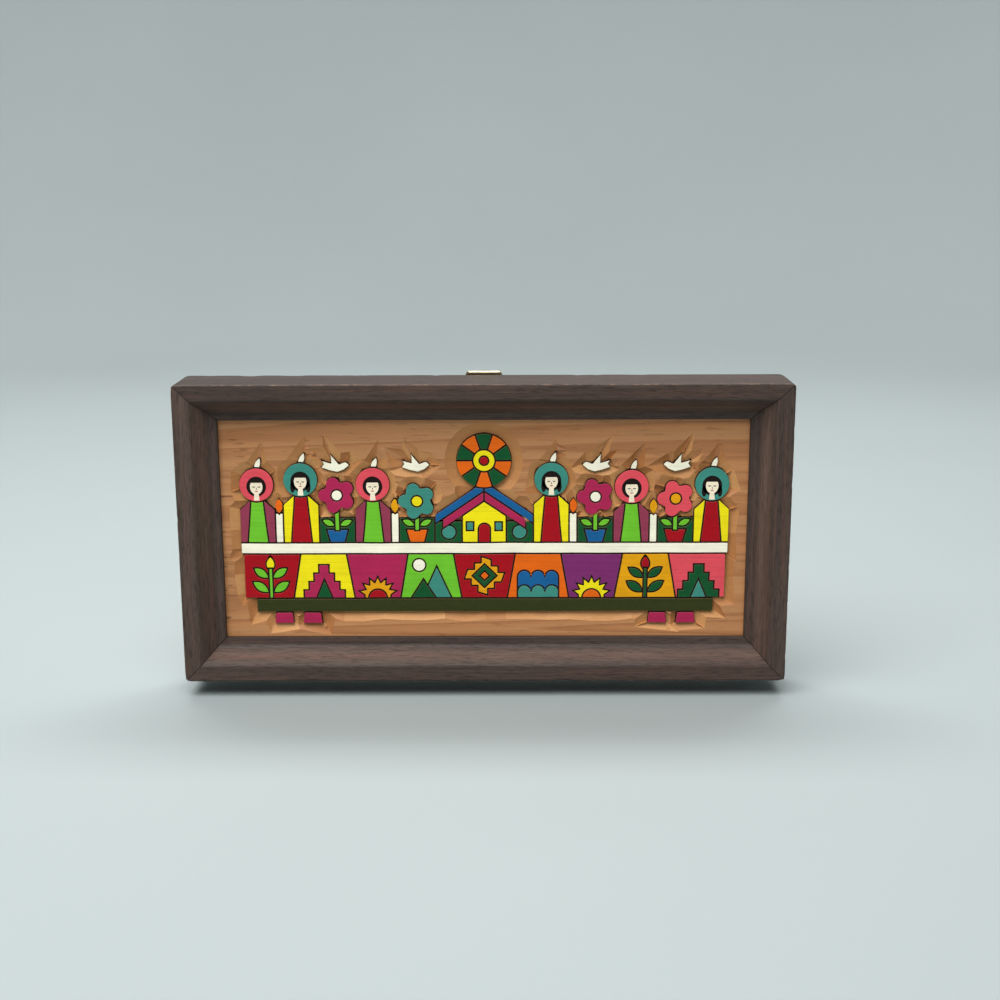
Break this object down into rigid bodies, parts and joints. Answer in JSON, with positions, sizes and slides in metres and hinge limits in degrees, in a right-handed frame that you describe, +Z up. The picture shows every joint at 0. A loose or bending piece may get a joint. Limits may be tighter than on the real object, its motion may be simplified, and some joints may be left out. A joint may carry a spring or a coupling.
{
  "type": "framed carved wood wall plaque",
  "caption": "Oblong wall plaque: a chip-carved and painted softwood panel set deep in a scooped dark wood frame, with a sawtooth hanger on its back.",
  "frame": {"origin": "the hanging point: the middle notch of the sawtooth hanger, in the plane of the frame's back", "axes": "+X to the right as seen from the front, +Y towards the wall so that the front faces -Y, +Z up"},
  "size_m": [0.3556, 0.0409, 0.1799],
  "materials": {
    "stained_wood": "dark brown stain and wax on open grain, satin",
    "carved_pine": "bare honey-coloured softwood with a thin clear coat",
    "enamel_paint": "glossy brushed enamel in many bright colours",
    "incised_line": "dark stained cuts between the painted fields",
    "brass": "thin brass plating, a little dulled"
  },
  "bodies": {
    "root": {"frame_top_rail": "stained_wood", "frame_bottom_rail": "stained_wood", "frame_left_rail": "stained_wood", "frame_right_rail": "stained_wood", "carved_panel": "carved_pine", "sawtooth_hanger": "brass", "hanger_nail_left": "brass", "hanger_nail_right": "brass"}
  },
  "joints": []
}
